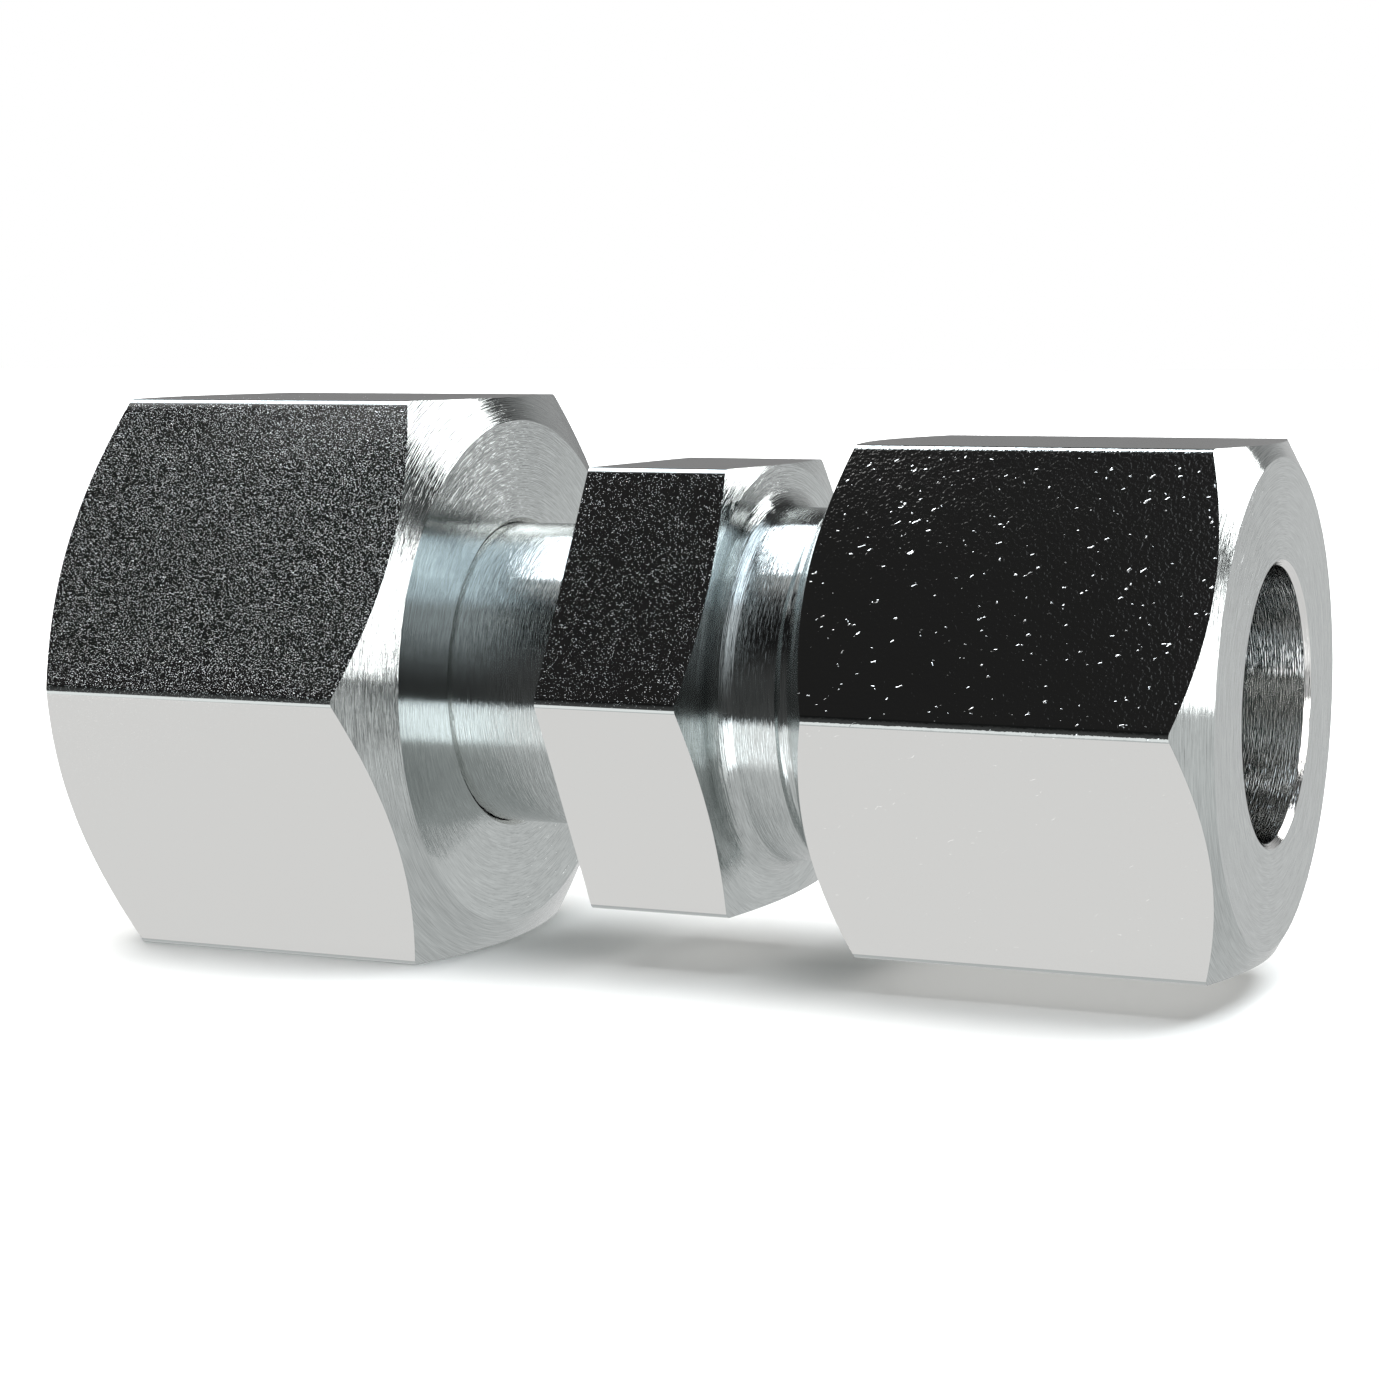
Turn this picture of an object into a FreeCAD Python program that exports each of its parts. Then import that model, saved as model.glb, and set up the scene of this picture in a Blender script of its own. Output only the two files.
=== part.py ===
import FreeCAD, Part
import os
import Sketcher

# Tube reducer for hydraulic tube: a plain tube end on one side and a male 24 degree cone end
# on the other, each with its union nut and its cutting ring.
# +X runs along the fitting, from the plain tube end to the cone end, and +Z is up.
# The origin is the centre of the tube stop, the flat floor of the socket in the cone end.

doc = FreeCAD.newDocument("tube_reducer")

# Driving dimensions in millimetres, angles in degrees.
# "large" is the side of the plain tube end, "small" the side of the cone end.
dimensions = [
    ("largeTubeDiameter", 12.0, "outside diameter of the plain tube end"),
    ("smallTubeDiameter", 10.0, "outside diameter of the tube that the socket takes"),
    ("flowBoreDiameter", 8.0, "bore right through the fitting body"),
    ("threadOverTube", 6.0, "major diameter of a thread, more than the tube that it goes with"),
    ("threadPitch", 1.5, "pitch of both threads"),
    ("threadDepthShare", 0.5413, "depth of a nut's thread as a share of its pitch"),
    ("hexAcrossFlats", 17.0, "hexagon of the fitting body"),
    ("hexWidth", 6.0, "width of that hexagon along the fitting"),
    ("hexChamferAngle", 15.0, "chamfer of the hexagon's corners, from the end face"),
    ("plainEndLength", 22.0, "free end of the plain tube end to the hexagon"),
    ("plainEndBevel", 0.3, "bevel outside and inside the plain tube end"),
    ("plainEndRootRadius", 0.4, "fillet where the plain tube end leaves the hexagon"),
    ("coneEndLength", 11.0, "hexagon to the end face of the cone end"),
    ("neckDepth", 1.15, "radial depth of the undercut behind the thread"),
    ("neckLength", 2.4, "plain length of the undercut, fillet included"),
    ("neckRadius", 0.9, "fillet between the undercut and the hexagon"),
    ("threadEndBevel", 1.0, "bevel at the start of the thread"),
    ("socketDepth", 7.0, "end face of the cone end to the tube stop"),
    ("socketClearance", 0.05, "radial clearance of the tube in the socket and in its ring"),
    ("coneMouthOverTube", 2.3, "mouth of the 24 degree cone, more than the tube's diameter"),
    ("coneHalfAngle", 12.0, "half of the 24 degree cone"),
    ("largeNutAcrossFlats", 22.0, "hexagon of the large union nut"),
    ("smallNutAcrossFlats", 19.0, "hexagon of the small union nut"),
    ("largeNutLength", 15.5, "length of the large union nut"),
    ("smallNutLength", 15.5, "length of the small union nut"),
    ("largeNutFaceInset", 0.9, "flats of the large nut to the edge of its round end faces"),
    ("smallNutFaceInset", 0.475, "flats of the small nut to the edge of its round end faces"),
    ("nutChamferAngle", 30.0, "chamfer of the nuts' corners, from the end face"),
    ("nutThreadDepth", 9.0, "length of the threaded bore of either nut"),
    ("nutMouthBevel", 0.5, "bevel at the mouth of the threaded bore"),
    ("threadClearance", 0.05, "radial clearance between thread and nut"),
    ("nutLandLength", 2.5, "straight part of the tube hole, at the back of either nut"),
    ("nutHoleClearance", 0.1, "radial clearance of the tube in a nut's hole"),
    ("largeNutHoleBevel", 0.1, "bevel at the back of the large nut's hole"),
    ("smallNutHoleBevel", 0.2, "bevel at the back of the small nut's hole"),
    ("edgeRadius", 0.25, "rounding of the hexagons' long edges"),
    ("ringLength", 9.0, "length of either cutting ring"),
    ("ringNoseWall", 0.3, "wall of a ring at its cutting nose"),
    ("ringCollarClearance", 0.34, "radial clearance of a ring's collar in its nut's thread"),
    ("ringBackWall", 0.45, "wall of a ring at its back face"),
    ("ringConeOverrun", 0.8, "how far a ring's cone runs on past the mouth it seats in"),
    ("cuttingEdgeLand", 1.0, "bore behind a ring's first cutting edge"),
    ("reliefLength", 1.2, "relief between a ring's two cutting edges"),
    ("reliefDepth", 0.25, "depth of that relief at the second edge"),
    ("seatClearance", 0.05, "clearance of a ring from the cone and from the nut's shoulder"),
    ("plainEndStandout", 1.0, "how far the plain tube end stands out of the large nut's mouth"),
    ("cutMargin", 1.0, "how far a chamfering cut reaches past the corners"),
]

sheet = doc.addObject("Spreadsheet::Sheet", "Sizes")
for row, (alias, value, note) in enumerate(dimensions, start=1):
    sheet.set(f"A{row}", note)
    sheet.set(f"B{row}", str(value))
    sheet.setAlias(f"B{row}", alias)
doc.recompute()


def size(alias):
    return f"Sizes.{alias}"


# Places along the fitting, measured from the tube stop.
cone_slope = f"tan({size('coneHalfAngle')})"
body_end = size("socketDepth")
hex_face = f"({body_end} - {size('coneEndLength')})"
hex_back = f"({hex_face} - {size('hexWidth')})"
plain_end = f"({hex_back} - {size('plainEndLength')})"
large_nut_back = f"({plain_end} + {size('plainEndStandout')} + {size('largeNutLength')})"

# A ring's shoulder and the seat in its nut are parallel 45 degree cones, a seat clearance apart.
shoulder_shift = f"({size('seatClearance')} * sqrt(2))"
seat_to_ring_back = (
    f"({size('socketClearance')} + {size('ringBackWall')} + {shoulder_shift}"
    f" - {size('nutHoleClearance')})"
)
ring_back_to_nut_back = f"({seat_to_ring_back} + {size('nutLandLength')})"

# The small ring's nose stands in the cone where the cone is a seat clearance wider than it.
nose_depth = (
    f"(({size('coneMouthOverTube')} / 2 - {size('socketClearance')}"
    f" - {size('ringNoseWall')} - {size('seatClearance')}) / {cone_slope})"
)
small_ring_nose = f"({body_end} - {nose_depth})"
small_nut_back = f"({small_ring_nose} + {size('ringLength')} + {ring_back_to_nut_back})"
large_ring_nose = f"({large_nut_back} - {ring_back_to_nut_back} - {size('ringLength')})"


def new_body(label, position):
    body = doc.addObject("PartDesign::Body", label)
    body.Label = label
    body.setExpression("Placement.Base.x", position)
    return body


def new_sketch(body, name, plane_role, outlines, offset=None):
    """A sketch on an origin plane with closed outlines, each corner's place bound to the sheet."""
    sketch = body.newObject("Sketcher::SketchObject", name)
    plane = [item for item in body.Origin.OriginFeatures if item.Role == plane_role][0]
    sketch.AttachmentSupport = [(plane, "")]
    sketch.MapMode = "FlatFace"
    if offset:
        sketch.setExpression("AttachmentOffset.Base.z", offset)
    for corners in outlines:
        draw_outline(sketch, corners)
    doc.recompute()
    return sketch


def draw_outline(sketch, corners):
    points = [
        FreeCAD.Vector(float(sheet.evalExpression(along)), float(sheet.evalExpression(across)), 0)
        for along, across in corners
    ]
    first = sketch.GeometryCount
    for index, start in enumerate(points):
        end = points[(index + 1) % len(points)]
        sketch.addGeometry(Part.LineSegment(start, end), False)
    for index, (along, across) in enumerate(corners):
        line = first + index
        following = first + (index + 1) % len(corners)
        sketch.addConstraint(Sketcher.Constraint("Coincident", line, 2, following, 1))
        bind_corner(sketch, line, "DistanceX", along, points[index].x, axis=-2)
        bind_corner(sketch, line, "DistanceY", across, points[index].y, axis=-1)


def bind_corner(sketch, line, kind, expression, value, axis):
    if expression == "0":
        sketch.addConstraint(Sketcher.Constraint("PointOnObject", line, 1, axis))
        return
    number = sketch.addConstraint(Sketcher.Constraint(kind, -1, 1, line, 1, value))
    sketch.setExpression(f"Constraints[{number}]", expression)


def thread_radius(side):
    return f"({size(side + 'TubeDiameter')} + {size('threadOverTube')}) / 2"


def nut_core_radius(side):
    return f"({thread_radius(side)} - {size('threadPitch')} * {size('threadDepthShare')})"


def hexagon_corners(across_flats):
    reach = f"{across_flats} / sqrt(3)"
    half = f"{across_flats} / 2"
    return [
        (reach, "0"),
        (f"{reach} / 2", half),
        (f"-{reach} / 2", half),
        (f"-{reach}", "0"),
        (f"-{reach} / 2", f"-{half}"),
        (f"{reach} / 2", f"-{half}"),
    ]


def add_hexagon(body, across_flats, length, start=None):
    """A hexagon bar along X, flats up and down, with its six long edges rounded."""
    sketch = new_sketch(body, "HexagonSketch", "YZ_Plane", [hexagon_corners(across_flats)], start)
    pad = body.newObject("PartDesign::Pad", "Hexagon")
    pad.Profile = sketch
    pad.setExpression("Length", length)
    doc.recompute()
    add_fillet(body, pad, "LongEdges", runs_along_x, size("edgeRadius"))


def runs_along_x(edge):
    start = edge.Vertexes[0].Point
    end = edge.Vertexes[-1].Point
    return abs(end.x - start.x) > edge.Length - 0.001


def is_circle_at(place, radius):
    def test(edge):
        curve = edge.Curve
        if not isinstance(curve, Part.Circle):
            return False
        return abs(curve.Center.x - place) < 0.001 and abs(curve.Radius - radius) < 0.001

    return test


def add_fillet(body, base, name, wanted, radius):
    names = [f"Edge{number}" for number, edge in enumerate(base.Shape.Edges, start=1) if wanted(edge)]
    fillet = body.newObject("PartDesign::Fillet", name)
    fillet.Base = (base, names)
    fillet.setExpression("Radius", radius)
    doc.recompute()
    return fillet


def add_turned(body, kind, name, outlines):
    """Material added (Revolution) or cut away (Groove) by turning outlines about the X axis."""
    sketch = new_sketch(body, name + "Sketch", "XY_Plane", outlines)
    feature = body.newObject(kind, name)
    feature.Profile = sketch
    feature.ReferenceAxis = (sketch, ["H_Axis"])
    feature.Angle = 360
    doc.recompute()
    return feature


def corner_cut(place, face_radius, angle, across_flats, side):
    """The triangle that chamfers a hexagon's corners; side is +1 at the +X end, -1 at the other."""
    outer = f"({across_flats} / sqrt(3) + {size('cutMargin')})"
    rise = f"({outer} - {face_radius}) * tan({angle})"
    sign = "-" if side > 0 else "+"
    return [(place, face_radius), (place, outer), (f"{place} {sign} {rise}", outer)]


def make_fitting_body():
    body = new_body("fitting_body", "0 mm")
    flats = size("hexAcrossFlats")
    add_hexagon(body, flats, size("hexWidth"), hex_back)
    cut = corner_cut(hex_face, f"{flats} / 2", size("hexChamferAngle"), flats, 1)
    add_turned(body, "PartDesign::Groove", "HexagonChamfer", [cut])

    pipe = f"{size('largeTubeDiameter')} / 2"
    thread = thread_radius("small")
    neck = f"({thread} - {size('neckDepth')})"
    neck_end = f"({hex_face} + {size('neckLength')})"
    inside_hexagon = f"({hex_back} + {size('hexWidth')} / 2)"
    outline = [
        (plain_end, "0"),
        (plain_end, f"{pipe} - {size('plainEndBevel')}"),
        (f"{plain_end} + {size('plainEndBevel')}", pipe),
        (inside_hexagon, pipe),
        (inside_hexagon, neck),
        (neck_end, neck),
        (f"{neck_end} + {size('neckDepth')}", thread),
        (f"{body_end} - {size('threadEndBevel')}", thread),
        (body_end, f"{thread} - {size('threadEndBevel')}"),
        (body_end, "0"),
    ]
    turned = add_turned(body, "PartDesign::Revolution", "TurnedEnds", [outline])

    at_neck = is_circle_at(sheet.evalExpression(hex_face), sheet.evalExpression(neck))
    neck_fillet = add_fillet(body, turned, "NeckFillet", at_neck, size("neckRadius"))
    at_root = is_circle_at(sheet.evalExpression(hex_back), sheet.evalExpression(pipe))
    add_fillet(body, neck_fillet, "PlainEndFillet", at_root, size("plainEndRootRadius"))

    bore = f"{size('flowBoreDiameter')} / 2"
    socket = f"({size('smallTubeDiameter')} / 2 + {size('socketClearance')})"
    mouth = f"(({size('smallTubeDiameter')} + {size('coneMouthOverTube')}) / 2)"
    passage = [
        (plain_end, "0"),
        (plain_end, f"{bore} + {size('plainEndBevel')}"),
        (f"{plain_end} + {size('plainEndBevel')}", bore),
        ("0", bore),
        ("0", socket),
        (f"{body_end} - ({mouth} - {socket}) / {cone_slope}", socket),
        (body_end, mouth),
        (body_end, "0"),
    ]
    add_turned(body, "PartDesign::Groove", "Passage", [passage])
    return body


def make_union_nut(label, side, nut_back):
    """A union nut with its threaded mouth at -X and its tube hole at +X."""
    flats = size(side + "NutAcrossFlats")
    length = size(side + "NutLength")
    face_radius = f"({flats} / 2 - {size(side + 'NutFaceInset')})"
    body = new_body(label, f"({nut_back} - {length}) * 1 mm")
    add_hexagon(body, flats, length)
    angle = size("nutChamferAngle")
    mouth_cut = corner_cut("0", face_radius, angle, flats, -1)
    back_cut = corner_cut(length, face_radius, angle, flats, 1)
    add_turned(body, "PartDesign::Groove", "Chamfers", [mouth_cut, back_cut])

    root = f"({thread_radius(side)} + {size('threadClearance')})"
    core = nut_core_radius(side)
    hole = f"({size(side + 'TubeDiameter')} / 2 + {size('nutHoleClearance')})"
    hole_bevel = size(side + "NutHoleBevel")
    seat_end = f"({length} - {size('nutLandLength')})"
    passage = [
        ("0", "0"),
        ("0", f"{root} + {size('nutMouthBevel')}"),
        (size("nutMouthBevel"), root),
        (size("nutThreadDepth"), root),
        (size("nutThreadDepth"), core),
        (f"{seat_end} - ({core} - {hole})", core),
        (seat_end, hole),
        (f"{length} - {hole_bevel}", hole),
        (length, f"{hole} + {hole_bevel}"),
        (length, "0"),
    ]
    add_turned(body, "PartDesign::Groove", "Passage", [passage])
    return body


def make_cutting_ring(label, side, nose):
    """A cutting ring with its nose at -X and the shoulder that its nut presses on at +X."""
    body = new_body(label, f"{nose} * 1 mm")
    bore = f"({size(side + 'TubeDiameter')} / 2 + {size('socketClearance')})"
    nose_radius = f"({bore} + {size('ringNoseWall')})"
    collar = f"({nut_core_radius(side)} - {size('ringCollarClearance')})"
    back_radius = f"({bore} + {size('ringBackWall')})"
    length = size("ringLength")
    cone_length = f"({nose_depth} + {size('ringConeOverrun')})"
    cone_end_radius = f"({nose_radius} + {cone_length} * {cone_slope})"
    second_edge = f"({size('cuttingEdgeLand')} + {size('reliefLength')})"
    outline = [
        ("0", bore),
        ("0", nose_radius),
        (cone_length, cone_end_radius),
        (f"{cone_length} + {collar} - {cone_end_radius}", collar),
        (f"{length} - ({collar} - {back_radius})", collar),
        (length, back_radius),
        (length, bore),
        (second_edge, bore),
        (second_edge, f"{bore} + {size('reliefDepth')}"),
        (size("cuttingEdgeLand"), bore),
    ]
    add_turned(body, "PartDesign::Revolution", "Ring", [outline])
    return body


pieces = [
    make_fitting_body(),
    make_union_nut("large_union_nut", "large", large_nut_back),
    make_cutting_ring("large_cutting_ring", "large", large_ring_nose),
    make_union_nut("small_union_nut", "small", small_nut_back),
    make_cutting_ring("small_cutting_ring", "small", small_ring_nose),
]
doc.recompute()

for item in doc.Objects:
    if "Invalid" in item.State or "Error" in item.State:
        raise RuntimeError(f"{item.Label} failed: {item.State}")
for piece in pieces:
    if piece.Shape.isNull() or not piece.Shape.isValid():
        raise RuntimeError(f"{piece.Label} has no valid shape")

os.makedirs("parts", exist_ok=True)
for piece in pieces:
    piece.Shape.exportStep(f"parts/{piece.Label}.step")
    box = piece.Shape.BoundBox
    print(
        f"{piece.Label}: x {box.XMin:.3f} to {box.XMax:.3f}, y {box.YMin:.3f} to {box.YMax:.3f},"
        f" z {box.ZMin:.3f} to {box.ZMax:.3f}, {piece.Shape.Volume:.1f} mm3,"
        f" {len(piece.Shape.Solids)} solid"
    )
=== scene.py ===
import bmesh
import bpy
import math
from mathutils import Matrix, Vector


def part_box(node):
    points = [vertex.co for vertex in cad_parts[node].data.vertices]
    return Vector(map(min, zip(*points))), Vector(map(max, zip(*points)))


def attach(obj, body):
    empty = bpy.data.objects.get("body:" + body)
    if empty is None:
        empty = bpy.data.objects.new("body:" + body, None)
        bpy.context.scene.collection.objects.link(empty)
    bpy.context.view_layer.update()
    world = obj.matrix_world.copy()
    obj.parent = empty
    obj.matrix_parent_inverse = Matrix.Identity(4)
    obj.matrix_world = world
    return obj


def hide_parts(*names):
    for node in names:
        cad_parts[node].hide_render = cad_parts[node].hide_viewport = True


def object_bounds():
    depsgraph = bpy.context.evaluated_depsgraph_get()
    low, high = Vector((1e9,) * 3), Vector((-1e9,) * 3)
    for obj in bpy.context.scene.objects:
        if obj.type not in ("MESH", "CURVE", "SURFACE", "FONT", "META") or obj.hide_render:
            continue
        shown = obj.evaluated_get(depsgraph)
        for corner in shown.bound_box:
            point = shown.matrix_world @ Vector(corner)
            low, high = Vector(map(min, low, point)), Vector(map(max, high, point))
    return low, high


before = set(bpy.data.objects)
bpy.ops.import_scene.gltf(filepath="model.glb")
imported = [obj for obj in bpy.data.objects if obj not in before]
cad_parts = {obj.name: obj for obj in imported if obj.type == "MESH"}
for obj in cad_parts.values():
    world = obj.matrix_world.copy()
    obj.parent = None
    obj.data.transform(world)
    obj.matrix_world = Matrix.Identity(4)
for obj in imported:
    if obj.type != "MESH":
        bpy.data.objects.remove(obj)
cadBox = [list(corner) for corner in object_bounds()]
print("frame loaded:", ", ".join(sorted(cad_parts)))

# A tube reducer of zinc-plated steel. Lengths are in millimetres and angles in degrees until a
# mesh is finished, when it is brought to metres. +X runs from the plain tube end to the cone end.
mm = 0.001
stepsPerTurn = 180  # facets round every turned surface
weld = 0.002  # points nearer than this become one
turned, drawn, rounded, bored = 0, 1, 2, 3  # slots: turned outsides, the bar's flats, its long edges, bores

thread = {
    "pitch": 1.5,
    "depth": 0.92,  # crest to root of the male thread
    "crestShare": 0.125,  # flat crest as a share of the pitch
    "clearance": 0.05,  # how much wider the nuts' threads are
    "nutDepth": 0.862,  # root to crest inside a nut
    "flankPoints": 4,
    "start": 0.35,  # where a ridge crosses the +Y side, in mm from the tube stop
}


def spanOf(node):
    low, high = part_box(node)
    return low / mm, high / mm


def arcPoints(centreX, centreR, radius, fromAngle, toAngle, count=8):
    points = []
    for index in range(count + 1):
        angle = math.radians(fromAngle + (toAngle - fromAngle) * index / count)
        points.append((centreX + radius * math.cos(angle), centreR + radius * math.sin(angle)))
    return points


def addMesh(bm, part, material):
    # moves a finished part into the piece that it belongs to
    for face in part.faces:
        face.material_index = material
    mesh = bpy.data.meshes.new("part")
    part.to_mesh(mesh)
    part.free()
    bm.from_mesh(mesh)
    bpy.data.meshes.remove(mesh)


def spinOutline(bm, outline, advance=0.0, repeats=1, material=turned):
    # turns an outline of (x, radius) points once about the X axis, or along repeated turns of a helix
    part = bmesh.new()
    verts = [part.verts.new((x, radius, 0)) for x, radius in outline]
    edges = [part.edges.new(pair) for pair in zip(verts, verts[1:])]
    bmesh.ops.spin(part, geom=verts + edges, axis=(1, 0, 0), dvec=(advance / stepsPerTurn, 0, 0),
                   angle=math.tau, steps=stepsPerTurn, use_merge=advance == 0)
    turn = part.verts[:] + part.edges[:] + part.faces[:]
    for repeat in range(1, repeats):
        copy = bmesh.ops.duplicate(part, geom=turn)["geom"]
        moved = [item for item in copy if isinstance(item, bmesh.types.BMVert)]
        bmesh.ops.translate(part, vec=(advance * repeat, 0, 0), verts=moved)
    addMesh(bm, part, material)


def cutHexagon(bm, acrossFlats, edgeRadius):
    # trims a turned blank to a hexagon bar with rounded long edges, one plane at a time
    edgeCentre = (acrossFlats / 2 - edgeRadius) / math.cos(math.radians(30))
    facets = 10  # planes from one flat to the next
    for corner in range(6):
        for facet in range(facets):
            turn = -30 + 60 * facet / facets
            reach = edgeCentre * math.cos(math.radians(turn)) + edgeRadius
            angle = math.radians(60 * corner + turn)
            normal = Vector((0, math.cos(angle), math.sin(angle)))
            cut = bmesh.ops.bisect_plane(bm, geom=bm.verts[:] + bm.edges[:] + bm.faces[:], dist=1e-6,
                                         plane_co=normal * reach, plane_no=normal, clear_outer=True)
            rim = [item for item in cut["geom_cut"]
                   if isinstance(item, bmesh.types.BMEdge) and len(item.link_faces) == 1]
            bmesh.ops.edgeloop_fill(bm, edges=rim, mat_nr=rounded if facet else drawn)


def threadOutline(crest, root, start):
    # one pitch of the thread's section, its ridge in the middle
    half = thread["pitch"] / 2
    crestHalf = thread["pitch"] * thread["crestShare"] / 2
    foot = crestHalf + abs(crest - root) * math.tan(math.radians(30))
    rising = []
    for index in range(thread["flankPoints"] + 1):
        share = index / thread["flankPoints"]
        rising.append((crestHalf + (foot - crestHalf) * share, crest + (root - crest) * share))
    rising.append((half, root))
    left = [(start - x, radius) for x, radius in reversed(rising)]
    right = [(start + x, radius) for x, radius in rising]
    return left + right


def radiusOn(outline, x):
    for (x0, r0), (x1, r1) in zip(outline, outline[1:]):
        if x0 <= x <= x1 and x1 > x0:
            return r0 + (r1 - r0) * (x - x0) / (x1 - x0)
    return outline[-1][1]


def cutThread(bm, crest, root, least, most):
    # a helical thread kept between two outlines, which make it run out at either end
    first, last = most[0][0], most[-1][0]
    pitch = thread["pitch"]
    lead = thread["start"] + pitch * (math.floor((first - thread["start"]) / pitch) - 1)
    ridges = bmesh.new()
    spinOutline(ridges, threadOutline(crest, root, lead), pitch, math.ceil((last - lead) / pitch) + 1)
    for vert in ridges.verts:
        x = min(max(vert.co.x, first), last)
        radius = math.hypot(vert.co.y, vert.co.z)
        scale = min(max(radius, radiusOn(least, x)), radiusOn(most, x)) / radius
        vert.co = Vector((x, vert.co.y * scale, vert.co.z * scale))
    bmesh.ops.remove_doubles(ridges, verts=ridges.verts, dist=weld)
    addMesh(bm, ridges, turned)


def finishPiece(bm, name, finishes, body, node):
    bmesh.ops.remove_doubles(bm, verts=bm.verts, dist=weld)
    bmesh.ops.dissolve_degenerate(bm, edges=bm.edges, dist=weld / 10)
    bmesh.ops.recalc_face_normals(bm, faces=bm.faces)
    for face in bm.faces:
        face.smooth = True
    for edge in bm.edges:
        kinds = [face.material_index for face in edge.link_faces]
        edge.smooth = edge.calc_face_angle(math.pi) < math.radians(10) and kinds.count(turned) != 1
    loose = sum(1 for edge in bm.edges if len(edge.link_faces) != 2)
    bmesh.ops.scale(bm, vec=(mm, mm, mm), verts=bm.verts)
    mesh = bpy.data.meshes.new(name)
    bm.to_mesh(mesh)
    bm.free()
    piece = bpy.data.objects.new(name, mesh)
    bpy.context.scene.collection.objects.link(piece)
    for finish in finishes:
        mesh.materials.append(finish)
    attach(piece, body)
    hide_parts(node)
    print(f"{name}: {len(mesh.polygons)} faces, {loose} open edges")
    return piece


# Materials

def toLinear(hexCode):
    channels = [int(hexCode[index:index + 2], 16) / 255 for index in (1, 3, 5)]
    linear = [c / 12.92 if c <= 0.04045 else ((c + 0.055) / 1.055) ** 2.4 for c in channels]
    return (*linear, 1)


def addNode(tree, kind, settings=None, links=None):
    node = tree.nodes.new("ShaderNode" + kind)
    for key, value in (settings or {}).items():
        if isinstance(key, str) and hasattr(node, key):
            setattr(node, key, value)
        else:
            node.inputs[key].default_value = value
    for key, (source, output) in (links or {}).items():
        tree.links.new(source.outputs[output], node.inputs[key])
    return node


def newMaterial(name):
    material = bpy.data.materials.new(name)
    material.use_nodes = True
    material.node_tree.nodes.clear()
    return material, material.node_tree


turnedSteel = {
    "colour": "#CDD2D1",  # zinc plate, a little cold
    "roughness": 0.08,
    "grooveWidth": 0.038,  # mm across a tool mark, drawn wider than a real one so that it shows
    "grooveLength": 1.0,  # mm along it
    "grooveDepth": 0.016,  # mm
    # how far the colour darkens along the tool marks: partly the plate's own tone, partly painted reflection streaks
    "streakToneAndReflection": 0.28,
}


def makeTurnedSteel(name, values):
    # turned steel under bright zinc plate: fine marks run round the axis and drag reflections across them, and
    # streaks of reflection are partly painted into the colour along them
    material, tree = newMaterial(name)
    place = addNode(tree, "TexCoord")
    inMm = addNode(tree, "VectorMath", {"operation": "SCALE", "Scale": 1 / mm}, {0: (place, "Object")})
    parts = addNode(tree, "SeparateXYZ", {}, {0: (inMm, 0)})
    across = addNode(tree, "VectorMath", {"operation": "MULTIPLY", 1: (0, 1, 1)}, {0: (inMm, 0)})
    radius = addNode(tree, "VectorMath", {"operation": "LENGTH"}, {0: (across, 0)})
    unit = addNode(tree, "VectorMath", {"operation": "NORMALIZE"}, {0: (across, 0)})
    around = addNode(tree, "SeparateXYZ", {}, {0: (unit, 0)})
    # round the axis a mark is long, along the axis and outwards it is narrow
    stretch = 8 / values["grooveLength"]
    narrow = 1 / values["grooveWidth"]
    y = addNode(tree, "Math", {"operation": "MULTIPLY", 1: stretch}, {0: (around, "Y")})
    z = addNode(tree, "Math", {"operation": "MULTIPLY", 1: stretch}, {0: (around, "Z")})
    x = addNode(tree, "Math", {"operation": "MULTIPLY", 1: narrow}, {0: (parts, "X")})
    outwards = addNode(tree, "Math", {"operation": "MULTIPLY", 1: narrow}, {0: (radius, "Value")})
    grid = addNode(tree, "CombineXYZ", {}, {"X": (x, 0), "Y": (y, 0), "Z": (z, 0)})
    marks = addNode(tree, "TexNoise", {"noise_dimensions": "4D", "Scale": 1.0, "Detail": 2.0},
                    {"Vector": (grid, 0), "W": (outwards, 0)})
    bump = addNode(tree, "Bump", {"Strength": 1.0, "Distance": values["grooveDepth"] * mm},
                   {"Height": (marks, "Fac")})
    # the colour darkens along the marks: partly the plate's own tone, partly painted reflection streaks that stand
    # in for the bright and dark room the marks mirror
    shade = addNode(tree, "MapRange", {"From Min": 0.3, "From Max": 0.7,
                                       "To Min": 1 - values["streakToneAndReflection"], "To Max": 1.0},
                    {"Value": (marks, "Fac")})
    colour = addNode(tree, "VectorMath", {"operation": "SCALE", 0: toLinear(values["colour"])[:3]},
                     {"Scale": (shade, 0)})
    shader = addNode(tree, "BsdfPrincipled", {"Metallic": 1.0, "Roughness": values["roughness"]},
                     {"Base Color": (colour, 0), "Normal": (bump, 0)})
    addNode(tree, "OutputMaterial", {}, {"Surface": (shader, 0)})
    return material


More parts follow.
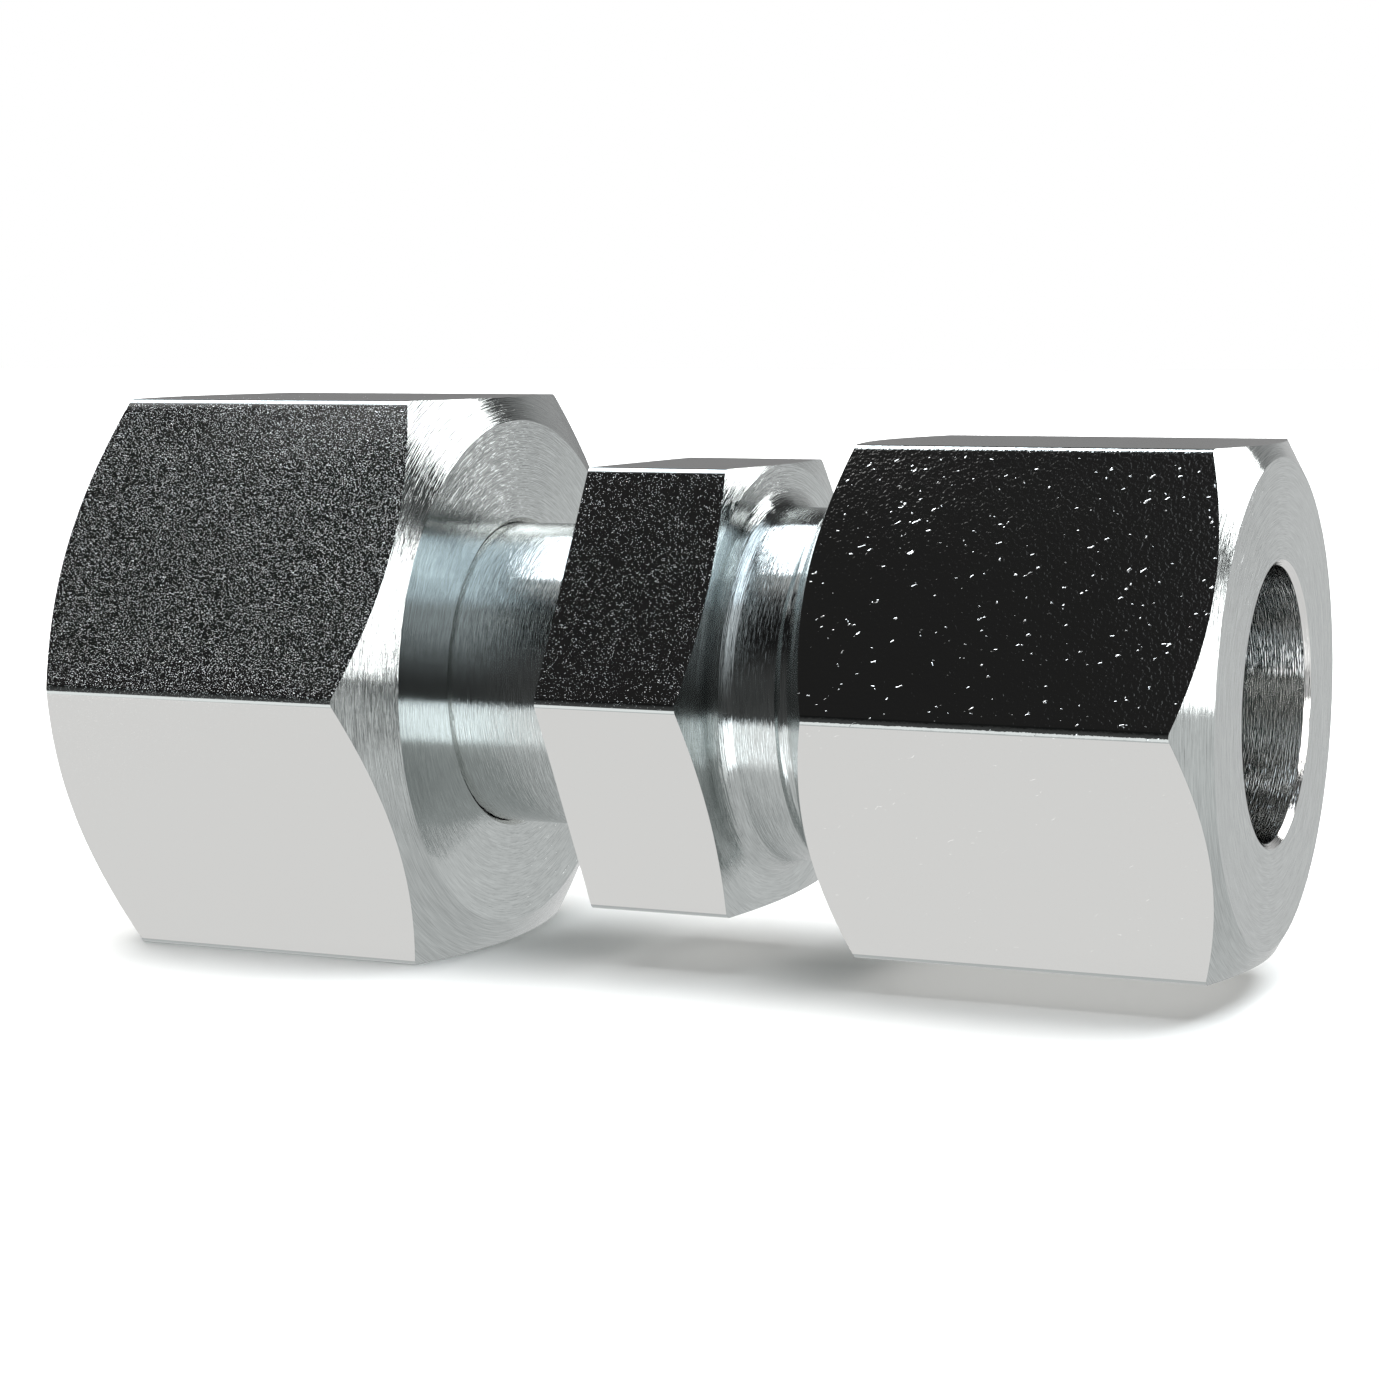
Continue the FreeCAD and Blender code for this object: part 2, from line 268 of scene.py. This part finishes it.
def makeDrawnSteel(name, values):
    # flats of cold-drawn bar under zinc plate: dark from one side, with a fine pebbled skin and scratches that glint
    material, tree = newMaterial(name)
    place = addNode(tree, "TexCoord")
    inMm = addNode(tree, "VectorMath", {"operation": "SCALE", "Scale": 1 / mm}, {0: (place, "Object")})
    pebbles = addNode(tree, "TexNoise", {"Scale": 1 / values["grainSize"], "Detail": 1.0},
                      {"Vector": (inMm, 0)})
    grain = addNode(tree, "MapRange", {"From Min": values["grainFrom"], "From Max": values["grainFrom"] + 0.25},
                    {"Value": (pebbles, "Fac")})
    dents = addNode(tree, "TexNoise", {"Scale": 1 / values["dentSize"], "Detail": 1.0}, {"Vector": (inMm, 0)})
    # scratches run mostly one way: short pieces of cell borders, drawn out along it
    drawnOut = addNode(tree, "Mapping", {"vector_type": "TEXTURE", "Scale": (2.5, 1, 1),
                                         "Rotation": (0, math.radians(values["scratchTurn"]), 0)},
                       {"Vector": (inMm, 0)})
    bent = addNode(tree, "VectorMath", {"operation": "MULTIPLY_ADD", 1: (0.5, 0.5, 0.5)},
                   {0: (dents, "Color"), 2: (drawnOut, 0)})
    lines = addNode(tree, "TexVoronoi", {"feature": "DISTANCE_TO_EDGE", "Scale": 1 / values["scratchCell"]},
                    {"Vector": (bent, 0)})
    line = addNode(tree, "MapRange", {"From Min": 0.0, "From Max": 0.05, "To Min": 1.0, "To Max": 0.0},
                   {"Value": (lines, "Distance")})
    patches = addNode(tree, "TexNoise", {"Scale": 1 / values["scratchPatch"], "Detail": 1.0},
                      {"Vector": (drawnOut, 0)})
    amount = values["scratchFrom"]
    patch = addNode(tree, "MapRange", {"From Min": amount, "From Max": amount + 0.05},
                    {"Value": (patches, "Fac")})
    scratches = addNode(tree, "Math", {"operation": "MULTIPLY"}, {0: (line, 0), 1: (patch, 0)})
    # the faces below are smoothest, and the top is smoother than the faces beside it
    facing = addNode(tree, "SeparateXYZ", {}, {0: (place, "Normal")})
    below = addNode(tree, "MapRange", {"From Min": -0.2, "From Max": 0.2, "To Min": values["belowSkin"]},
                    {"Value": (facing, "Z")})
    top = addNode(tree, "MapRange", {"From Min": 0.7, "From Max": 0.95, "To Min": 1.0, "To Max": values["topSkin"]},
                  {"Value": (facing, "Z")})
    skin = addNode(tree, "Math", {"operation": "MULTIPLY"}, {0: (below, 0), 1: (top, 0)})
    fine = addNode(tree, "Bump", {"Distance": values["grainDepth"] * mm},
                   {"Height": (grain, 0), "Strength": (skin, 0)})
    dented = addNode(tree, "Bump", {"Distance": values["dentDepth"] * mm},
                     {"Height": (dents, "Fac"), "Normal": (fine, 0), "Strength": (skin, 0)})
    scratched = addNode(tree, "Bump", {"Distance": values["scratchDepth"] * mm},
                        {"Height": (scratches, 0), "Normal": (dented, 0), "Strength": (skin, 0)})
    shader = addNode(tree, "BsdfPrincipled", {"Metallic": 1.0, "Roughness": values["roughness"],
                                              "Base Color": toLinear(values["colour"])},
                     {"Normal": (scratched, 0)})
    addNode(tree, "OutputMaterial", {}, {"Surface": (shader, 0)})
    return material


def makeBarSteel(name, values):
    # the flats, and the long edges between them, which are duller
    return [makeDrawnSteel(name + " flats", values),
            makeDrawnSteel(name + " edges", values | {"colour": values["edgeColour"]})]


largeNutBar = {
    "colour": "#F2F2F0", "edgeColour": "#C9CECD", "roughness": 0.06,
    "belowSkin": 0.15, "topSkin": 0.45,
    "grainSize": 0.045, "grainFrom": 0.63, "grainDepth": 0.015,
    "dentSize": 0.8, "dentDepth": 0.003,
    "scratchCell": 1.0, "scratchPatch": 0.5, "scratchFrom": 0.95, "scratchDepth": 0.01, "scratchTurn": 30,
}
hexagonBar = largeNutBar | {"grainFrom": 0.69}
smallNutBar = {
    "colour": "#F2F2F0", "edgeColour": "#C9CECD", "roughness": 0.06,
    "belowSkin": 0.5, "topSkin": 0.45,
    "grainSize": 0.13, "grainFrom": 0.35, "grainDepth": 0.003,
    "dentSize": 0.5, "dentDepth": 0.006,
    "scratchCell": 0.4, "scratchPatch": 0.17, "scratchFrom": 0.67, "scratchDepth": 0.009, "scratchTurn": -35,
}

turnedFinish = makeTurnedSteel("turned zinc-plated steel", turnedSteel)
# the bore is painted lighter than the turned outside, and its streaks weaker: a painted brightening that stands in
# for light reaching inside the hollow
brightenedBoreSteel = turnedSteel | {"colour": "#F2F2F0", "streakToneAndReflection": 0.05}
ringSteel = turnedSteel | {"colour": "#AAB0AF", "roughness": 0.14}
brightenedBoreFinish = makeTurnedSteel("bored zinc-plated steel, painted lighter", brightenedBoreSteel)
ringFinish = makeTurnedSteel("hardened zinc-plated steel", ringSteel)
print("materials made")


# Fitting body

bodyValues = {
    "pipeRadius": 6.0, "pipeBevel": 0.3, "pipeRoot": 0.4,
    "boreRadius": 4.0, "boreBevel": 0.3,
    "acrossFlats": 17.0, "edgeRadius": 0.4, "chamfer": 15,
    "hexBack": -10.0, "hexFace": -4.0,
    "neckRadius": 6.85, "neckFillet": 0.9, "neckEnd": -1.6,
    "threadRadius": 8.0, "threadBevel": 1.0,
    "socketRadius": 5.05, "mouthRadius": 6.15, "coneHalfAngle": 12,
}


def makeFittingBody(v):
    low, high = spanOf("fitting_body")
    start, end = low.x, high.x
    bm = bmesh.new()
    blankRadius = v["acrossFlats"] / math.sqrt(3) + 0.3
    apothem = v["acrossFlats"] / 2
    rise = (blankRadius - apothem) * math.tan(math.radians(v["chamfer"]))
    neckFoot = v["neckRadius"] + v["neckFillet"]
    rootRadius = v["pipeRadius"] + v["pipeRoot"]
    spinOutline(bm, [(v["hexBack"], rootRadius), (v["hexBack"], blankRadius),
                     (v["hexFace"] - rise, blankRadius), (v["hexFace"], apothem), (v["hexFace"], neckFoot)])
    cutHexagon(bm, v["acrossFlats"], v["edgeRadius"])
    spinOutline(bm, [(start, v["boreRadius"] + v["boreBevel"]), (start, v["pipeRadius"] - v["pipeBevel"]),
                     (start + v["pipeBevel"], v["pipeRadius"])]
                + arcPoints(v["hexBack"] - v["pipeRoot"], rootRadius, v["pipeRoot"], -90, 0))
    neck = arcPoints(v["hexFace"] + v["neckFillet"], neckFoot, v["neckFillet"], 180, 270)
    spinOutline(bm, neck + [(v["neckEnd"], v["neckRadius"])])
    runOut = v["neckEnd"] + v["threadRadius"] - v["neckRadius"]
    cutThread(bm, v["threadRadius"], v["threadRadius"] - thread["depth"], [(end, 0)],
              [(v["neckEnd"], v["neckRadius"]), (runOut, v["threadRadius"]),
               (end - v["threadBevel"], v["threadRadius"]), (end, v["threadRadius"] - v["threadBevel"])])
    coneFoot = end - (v["mouthRadius"] - v["socketRadius"]) / math.tan(math.radians(v["coneHalfAngle"]))
    spinOutline(bm, [(end, v["threadRadius"] - v["threadBevel"]), (end, v["mouthRadius"]),
                     (coneFoot, v["socketRadius"]), (0, v["socketRadius"]), (0, v["boreRadius"]),
                     (start + v["boreBevel"], v["boreRadius"]), (start, v["boreRadius"] + v["boreBevel"])],
                material=bored)
    finishes = [turnedFinish] + makeBarSteel("drawn zinc-plated steel, hexagon", hexagonBar) + [brightenedBoreFinish]
    return finishPiece(bm, "fittingBody", finishes, "fitting", "fitting_body")


makeFittingBody(bodyValues)


# Union nuts

largeNutValues = {
    "threadRadius": 9.0, "threadDepth": 9.0, "threadFade": 1.2, "mouthBevel": 0.5,
    "holeRadius": 6.03, "holeBevel": 0.17, "landLength": 2.5,
    "faceInset": 0.9, "chamfer": 30, "edgeRadius": 0.4,
}
smallNutValues = {
    "threadRadius": 8.0, "threadDepth": 9.0, "threadFade": 1.2, "mouthBevel": 0.5,
    "holeRadius": 5.1, "holeBevel": 0.2, "landLength": 2.5,
    "faceInset": 0.475, "chamfer": 30, "edgeRadius": 0.4,
}


def makeUnionNut(v, name, node, body, bar):
    low, high = spanOf(node)
    start, end = low.x, high.x
    acrossFlats = high.z - low.z
    bm = bmesh.new()
    blankRadius = acrossFlats / math.sqrt(3) + 0.3
    faceRadius = acrossFlats / 2 - v["faceInset"]
    rise = (blankRadius - faceRadius) * math.tan(math.radians(v["chamfer"]))
    root = v["threadRadius"] + thread["clearance"]
    core = root - thread["nutDepth"]
    mouth = root + v["mouthBevel"]
    hole = v["holeRadius"]
    spinOutline(bm, [(start, mouth), (start, faceRadius), (start + rise, blankRadius),
                     (end - rise, blankRadius), (end, faceRadius), (end, hole + v["holeBevel"])])
    cutHexagon(bm, acrossFlats, v["edgeRadius"])
    seatEnd = end - v["landLength"]
    threadEnd = start + v["threadDepth"]
    cutThread(bm, root, core, [(start, mouth), (start + mouth - core, core), (threadEnd, core)],
              [(start, mouth), (start + v["mouthBevel"], root),
               (threadEnd - v["threadFade"], root), (threadEnd, core)])
    spinOutline(bm, [(threadEnd, core), (seatEnd - core + hole, core), (seatEnd, hole),
                     (end - v["holeBevel"], hole), (end, hole + v["holeBevel"])], material=bored)
    return finishPiece(bm, name, [turnedFinish] + bar + [brightenedBoreFinish], body, node)


makeUnionNut(largeNutValues, "largeUnionNut", "large_union_nut", "large_nut",
             makeBarSteel("drawn zinc-plated steel, large nut", largeNutBar))
makeUnionNut(smallNutValues, "smallUnionNut", "small_union_nut", "small_nut",
             makeBarSteel("drawn zinc-plated steel, small nut", smallNutBar))


# Cutting rings

ringValues = {
    "clearance": 0.05, "noseWall": 0.3, "collarClearance": 0.34, "backWall": 0.45,
    "coneLength": 4.328, "coneHalfAngle": 12, "cuttingLand": 1.0, "reliefLength": 1.2, "reliefDepth": 0.25,
}


def makeCuttingRing(v, name, node, body, tubeRadius):
    low, high = spanOf(node)
    start, end = low.x, high.x
    collar = high.z
    bore = tubeRadius + v["clearance"]
    nose = bore + v["noseWall"]
    back = bore + v["backWall"]
    coneEnd = nose + v["coneLength"] * math.tan(math.radians(v["coneHalfAngle"]))
    secondEdge = start + v["cuttingLand"] + v["reliefLength"]
    bm = bmesh.new()
    spinOutline(bm, [(start, bore), (start, nose), (start + v["coneLength"], coneEnd),
                     (start + v["coneLength"] + collar - coneEnd, collar), (end - collar + back, collar),
                     (end, back), (end, bore), (secondEdge, bore), (secondEdge, bore + v["reliefDepth"]),
                     (start + v["cuttingLand"], bore), (start, bore)])
    return finishPiece(bm, name, [ringFinish], body, node)


makeCuttingRing(ringValues, "largeCuttingRing", "large_cutting_ring", "large_ring", bodyValues["pipeRadius"])
makeCuttingRing(ringValues, "smallCuttingRing", "small_cutting_ring", "small_ring", 5.0)


# Studio: pale floor, soft lights, camera

studio = {
    "floorSize": 3.0, "floorColour": "#F4F4F2",
    "sunStrength": 5.5, "sunAngle": 80,
    "lightDistance": 0.6,
}
softboxes = {
    # azimuth from +X towards +Y and height above the horizon, width and height as seen, brightness
    "rightBack": {"azimuth": 50, "height": 22, "width": 24, "tall": 24, "colour": "#FFFFFF", "level": 5.0},
    "right": {"azimuth": 4, "height": 11, "width": 28, "tall": 26, "colour": "#FFFFFF", "level": 5.0},
    "topBackLeft": {"azimuth": 150, "height": 58, "width": 40, "tall": 36, "colour": "#F0F8FF", "level": 5.0},
    "frontCard": {"azimuth": -68, "height": -32, "width": 46, "tall": 29, "colour": "#F4FAFF", "level": 1.7},
}
# the room that the metal reflects, as (sine of the height, brightness), behind the object and before it
skyBack = [(-1.0, 0.68), (-0.5, 0.68), (-0.25, 0.8), (-0.03, 0.8), (0.035, 0.3),
           (0.14, 0.42), (0.29, 0.36), (0.38, 0.13), (0.46, 0.06)]
skyFront = [(-1.0, 0.71), (-0.73, 0.71), (-0.69, 1.2), (-0.36, 1.2), (-0.3, 0.08), (0.15, 0.06),
            (0.5, 0.012), (1.0, 0.015)]
walls = {
    "left": {"azimuth": -178, "height": 47, "width": 36, "tall": 44, "blur": 14, "fade": 14,
             "colour": "#FFFFFF", "level": 0.8},
    "behindLeft": {"azimuth": 120, "height": 10, "width": 36, "tall": 30, "blur": 8, "fade": 8,
                   "colour": "#FFFFFF", "level": 0.23},
    "behindMiddle": {"azimuth": 84, "height": -8, "width": 26, "tall": 30, "blur": 12, "fade": 10,
                     "colour": "#FFFFFF", "level": 0.68},
    "frontRight": {"azimuth": -58, "height": 43, "width": 38, "tall": 56, "blur": 26, "fade": 50,
                   "colour": "#F4FAFF", "level": 0.9},
    "overhead": {"azimuth": 0, "height": 67, "width": 60, "tall": 26, "blur": 12, "fade": 10,
                 "colour": "#E6F4FF", "level": 2.4},
}


def direction(azimuth, height):
    a, h = math.radians(azimuth), math.radians(height)
    return Vector((math.cos(a) * math.cos(h), math.sin(a) * math.cos(h), math.sin(h)))


def makeStudio(v):
    bm = bmesh.new()
    bmesh.ops.create_grid(bm, x_segments=1, y_segments=1, size=v["floorSize"] / 2)
    bmesh.ops.translate(bm, vec=(0, 0, cadBox[0][2]), verts=bm.verts)
    mesh = bpy.data.meshes.new("floor")
    bm.to_mesh(mesh)
    bm.free()
    floor = bpy.data.objects.new("floor", mesh)
    bpy.context.scene.collection.objects.link(floor)
    material, tree = newMaterial("matt white paper")
    paper = addNode(tree, "BsdfDiffuse", {"Color": toLinear(v["floorColour"])})
    addNode(tree, "OutputMaterial", {}, {"Surface": (paper, 0)})
    mesh.materials.append(material)
    floor.visible_glossy = False
    floor.visible_shadow = False

    sunData = bpy.data.lights.new("overhead", "SUN")
    sunData.energy = v["sunStrength"]
    sunData.angle = math.radians(v["sunAngle"])
    sun = bpy.data.objects.new("overhead", sunData)
    bpy.context.scene.collection.objects.link(sun)
    sun.visible_glossy = False

    for name, box in softboxes.items():
        data = bpy.data.lights.new(name, "AREA")
        data.shape = "RECTANGLE"
        data.size = 2 * v["lightDistance"] * math.tan(math.radians(box["width"] / 2))
        data.size_y = 2 * v["lightDistance"] * math.tan(math.radians(box["tall"] / 2))
        data.color = toLinear(box["colour"])[:3]
        data.energy = box["level"] * math.pi * data.size * data.size_y
        light = bpy.data.objects.new(name, data)
        towards = direction(box["azimuth"], box["height"])
        light.matrix_world = (Matrix.Translation(towards * v["lightDistance"])
                              @ towards.to_track_quat("Z", "Y").to_matrix().to_4x4())
        light.visible_camera = False
        light.visible_diffuse = False
        bpy.context.scene.collection.objects.link(light)


def addWall(tree, place, before, wall):
    # lays a soft-edged bright patch over the room colour
    towards = direction(wall["azimuth"], wall["height"])
    side = direction(wall["azimuth"] + 90, 0)
    ahead, across, above = (addNode(tree, "VectorMath", {"operation": "DOT_PRODUCT", 1: axis}, {0: (place, 0)})
                            for axis in (towards, side, towards.cross(side)))
    factor = None
    for run, key, edge in ((across, "width", "blur"), (above, "tall", "fade")):
        turn = addNode(tree, "Math", {"operation": "ARCTAN2"}, {0: (run, "Value"), 1: (ahead, "Value")})
        size = addNode(tree, "Math", {"operation": "ABSOLUTE"}, {0: (turn, 0)})
        half = math.radians(wall[key]) / 2
        blur = math.radians(wall[edge]) / 2
        inside = addNode(tree, "MapRange", {"interpolation_type": "SMOOTHSTEP", "From Min": half - blur,
                                            "From Max": half + blur, "To Min": 1.0, "To Max": 0.0},
                         {"Value": (size, 0)})
        if factor:
            inside = addNode(tree, "Math", {"operation": "MULTIPLY"}, {0: (factor, 0), 1: (inside, 0)})
        factor = inside
    colour = [channel * wall["level"] for channel in toLinear(wall["colour"])]
    return addNode(tree, "Mix", {"data_type": "RGBA", 7: colour}, {"Factor": (factor, 0), 6: (before, 2)})


def makeSky():
    world = bpy.data.worlds.new("studio")
    bpy.context.scene.world = world
    world.use_nodes = True
    tree = world.node_tree
    tree.nodes.clear()
    place = addNode(tree, "TexCoord")
    parts = addNode(tree, "SeparateXYZ", {}, {0: (place, "Generated")})
    up = addNode(tree, "MapRange", {"From Min": -1.0, "From Max": 1.0}, {"Value": (parts, "Z")})
    ramps = []
    for stops in (skyFront, skyBack):
        ramp = addNode(tree, "ValToRGB", {}, {"Fac": (up, 0)})
        while len(ramp.color_ramp.elements) < len(stops):
            ramp.color_ramp.elements.new(0.5)
        for element, (height, grey) in zip(ramp.color_ramp.elements, stops):
            element.position = (height + 1) / 2
            element.color = (grey, grey, grey, 1)
        ramps.append(ramp)
    side = addNode(tree, "MapRange", {"From Min": -0.3, "From Max": -0.1, "interpolation_type": "SMOOTHSTEP"},
                   {"Value": (parts, "Y")})
    room = addNode(tree, "Mix", {"data_type": "RGBA"},
                   {"Factor": (side, 0), 6: (ramps[0], "Color"), 7: (ramps[1], "Color")})
    direct = addNode(tree, "VectorMath", {"operation": "NORMALIZE"}, {0: (place, "Generated")})
    for wall in walls.values():
        room = addWall(tree, direct, room, wall)
    seen = addNode(tree, "LightPath")
    backdrop = addNode(tree, "Mix", {"data_type": "RGBA", 7: (1, 1, 1, 1)},
                       {"Factor": (seen, "Is Camera Ray"), 6: (room, 2)})
    light = addNode(tree, "Background", {"Strength": 1.0}, {"Color": (backdrop, 2)})
    addNode(tree, "OutputWorld", {}, {"Surface": (light, 0)})


cameraValues = {
    "place": (43.101, -115.796, 13.872),  # mm
    "azimuth": -23.820,  # from +Y towards +X
    "down": 6.446,
    "roll": -0.219,
    "lens": 84.34,
    "sensor": 36.0,
}


def makeCamera(v):
    data = bpy.data.cameras.new("camera")
    data.lens = v["lens"]
    data.sensor_width = v["sensor"]
    data.clip_start = 0.001
    azimuth, down, roll = (math.radians(v[key]) for key in ("azimuth", "down", "roll"))
    forward = Vector((math.sin(azimuth) * math.cos(down), math.cos(azimuth) * math.cos(down), -math.sin(down)))
    right = forward.cross(Vector((0, 0, 1))).normalized()
    up = right.cross(forward)
    right, up = right * math.cos(roll) + up * math.sin(roll), up * math.cos(roll) - right * math.sin(roll)
    camera = bpy.data.objects.new("camera", data)
    turn = Matrix((right, up, -forward)).transposed().to_4x4()
    camera.matrix_world = Matrix.Translation(Vector(v["place"]) * mm) @ turn
    bpy.context.scene.collection.objects.link(camera)
    bpy.context.scene.camera = camera


makeStudio(studio)
makeSky()
makeCamera(cameraValues)
bpy.context.scene.view_settings.view_transform = "Standard"
print("studio and camera set")
